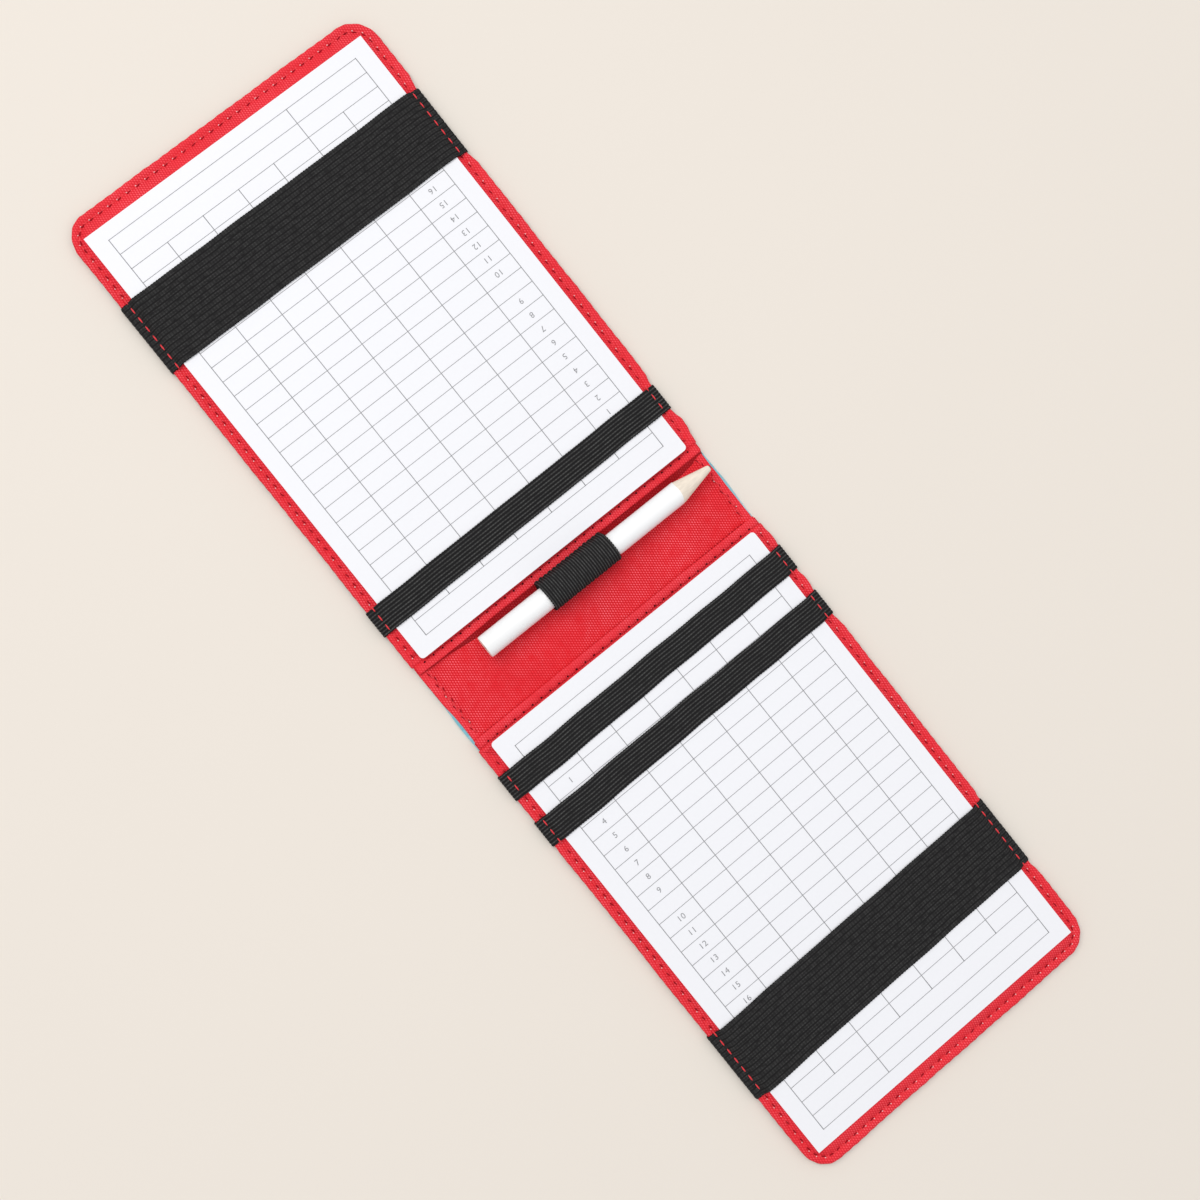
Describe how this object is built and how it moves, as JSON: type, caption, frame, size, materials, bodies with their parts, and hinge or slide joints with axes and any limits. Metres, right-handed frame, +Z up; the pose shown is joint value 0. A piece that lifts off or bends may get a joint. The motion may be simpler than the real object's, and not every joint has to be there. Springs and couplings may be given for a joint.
{
  "type": "golf score card holder",
  "caption": "Bi-fold score card holder lying open: two red lined leaves with black elastic bands over paper score cards, and a soft spine with a pencil in an elastic loop.",
  "frame": {"origin": "on the resting surface under the middle of the spine, at the middle of the open holder's length and width", "axes": "+X across the leaves, towards the pencil's point; +Y along the open holder, towards the leaf that the pencil lies beside; +Z up from the resting surface"},
  "size_m": [0.1156, 0.369, 0.012],
  "materials": {
    "red_lining": "fine twill weave, satin",
    "printed_cover": "coated cloth with a loose pale print, matt",
    "black_elastic": "ribbed woven elastic, matt",
    "red_thread": "twisted polyester thread",
    "grey_board": "raw grey board",
    "card_paper": "smooth uncoated card with fine grey print",
    "pencil_wood": "white paint, bare wood at the cone",
    "pencil_lead": "graphite"
  },
  "bodies": {
    "lower_leaf": {"lower_cover": "printed_cover", "lower_board": "grey_board", "lower_lining": "red_lining", "lower_inner_narrow_band": "black_elastic", "lower_outer_narrow_band": "black_elastic", "lower_wide_band": "black_elastic", "lower_edge_thread": "red_thread"},
    "spine_lower": {"spine_cover_lower": "printed_cover", "spine_lining_lower": "red_lining", "lower_hem_strip": "red_lining", "lower_spine_thread": "red_thread"},
    "spine_upper": {"spine_cover_upper": "printed_cover", "spine_lining_upper": "red_lining", "upper_hem_strip": "red_lining", "upper_spine_thread": "red_thread", "pencil_loop": "black_elastic"},
    "upper_leaf": {"upper_cover": "printed_cover", "upper_board": "grey_board", "upper_lining": "red_lining", "upper_narrow_band": "black_elastic", "upper_wide_band": "black_elastic", "upper_edge_thread": "red_thread"},
    "pencil": {"pencil_casing": "pencil_wood", "pencil_lead": "pencil_lead"},
    "upper_card": {"upper_score_card": "card_paper"},
    "lower_card": {"lower_score_card": "card_paper"}
  },
  "joints": [
    {"name": "lower_fold", "type": "hinge", "parent": "lower_leaf", "child": "spine_lower", "pos_m": [0, -0.0162, 0.002], "axis": [1, 0, 0], "range_deg": [0, 37]},
    {"name": "centre_fold", "type": "hinge", "parent": "spine_lower", "child": "spine_upper", "pos_m": [0, 0, 0.0013], "axis": [1, 0, 0], "range_deg": [0, 106]},
    {"name": "upper_fold", "type": "hinge", "parent": "spine_upper", "child": "upper_leaf", "pos_m": [0, 0.0162, 0.002], "axis": [1, 0, 0], "range_deg": [0, 37]},
    {"name": "pencil_slide", "type": "slide", "parent": "spine_upper", "child": "pencil", "axis": [1, 0, 0], "range_m": [-0.069, 0.05]},
    {"name": "upper_card_slide", "type": "slide", "parent": "upper_leaf", "child": "upper_card", "axis": [0, 1, 0], "range_m": [0, 0.169]},
    {"name": "lower_card_slide", "type": "slide", "parent": "lower_leaf", "child": "lower_card", "axis": [0, -1, 0], "range_m": [0, 0.169]}
  ]
}
